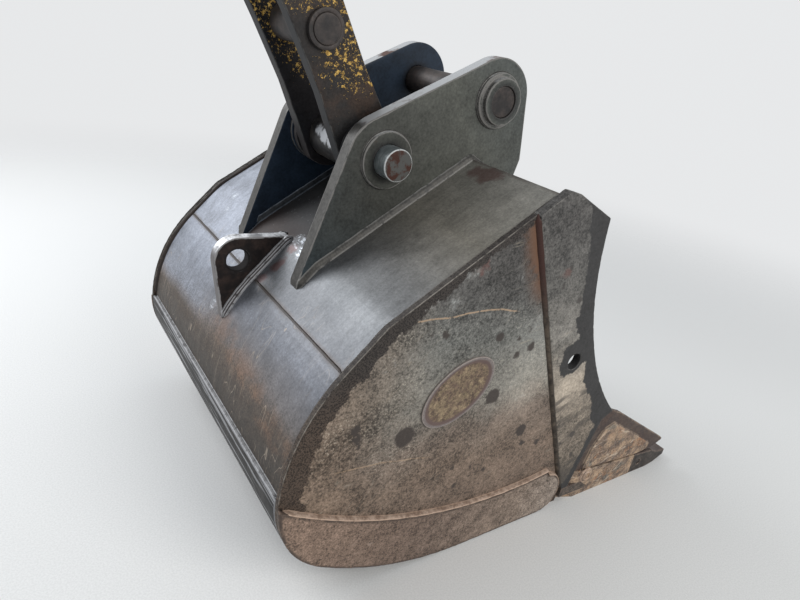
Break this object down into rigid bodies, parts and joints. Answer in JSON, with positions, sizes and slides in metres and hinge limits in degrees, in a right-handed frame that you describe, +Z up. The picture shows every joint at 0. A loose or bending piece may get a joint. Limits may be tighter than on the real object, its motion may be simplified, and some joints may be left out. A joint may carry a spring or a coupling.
{
  "type": "excavator bucket with bucket link",
  "caption": "Digging bucket with hinge ears, pins, lifting eye, teeth and the lower bucket link that swings on its pin.",
  "frame": {"origin": "on the floor under the middle of the bucket's length, midway between heel and tooth tips, at mid-width", "axes": "+X forward to the tooth tips, +Y to the bucket's left along the pins, +Z up"},
  "size_m": [1.807, 1.284, 1.7634],
  "materials": {
    "wrapper_steel": "worn bare steel plate, grey-blue to brown",
    "side_steel": "weathered steel plate with rust film",
    "bar_steel": "dark weathered steel bar",
    "wear_steel": "rust-brown wear plate",
    "lip_steel": "worn cutting lip",
    "cast_rust": "rusty casting",
    "tooth_steel": "dark worn casting",
    "ear_steel": "thin olive-grey paint on thick plate",
    "eye_steel": "dark painted plate",
    "pin_steel": "bright steel pin with rust on its end",
    "hub_steel": "greasy bare steel",
    "link_paint": "rusty brown steel with flakes of yellow paint"
  },
  "bodies": {
    "bucket": {"side_plate_left": "side_steel", "side_plate_right": "side_steel", "side_bar_left": "bar_steel", "side_bar_right": "bar_steel", "side_wear_left": "wear_steel", "side_wear_right": "wear_steel", "oval_plates": "wear_steel", "back_plate": "wrapper_steel", "heel_plate": "wrapper_steel", "heel_wear_plate": "wear_steel", "top_plate": "wrapper_steel", "box_plate": "wrapper_steel", "lip": "lip_steel", "adapters": "cast_rust", "teeth": "tooth_steel", "tooth_pins": "pin_steel", "corner_wing_left": "cast_rust", "corner_wing_right": "cast_rust", "ear_left": "ear_steel", "ear_right": "ear_steel", "link_pin_rings": "ear_steel", "ear_inner_rings": "ear_steel", "stick_pin_bosses": "ear_steel", "link_pin": "pin_steel", "stick_pin": "pin_steel", "lifting_eye": "eye_steel"},
    "link": {"link_leg_left": "link_paint", "link_leg_right": "link_paint", "link_hub": "hub_steel", "link_hub_rings": "link_paint", "link_bosses": "link_paint", "cross_tube": "link_paint", "cross_collars": "link_paint", "cross_pin": "pin_steel"}
  },
  "joints": [
    {"name": "link_swing", "type": "hinge", "parent": "bucket", "child": "link", "pos_m": [-0.4885, 0, 1.144], "axis": [0, 1, 0], "range_deg": [-70, 65]}
  ]
}
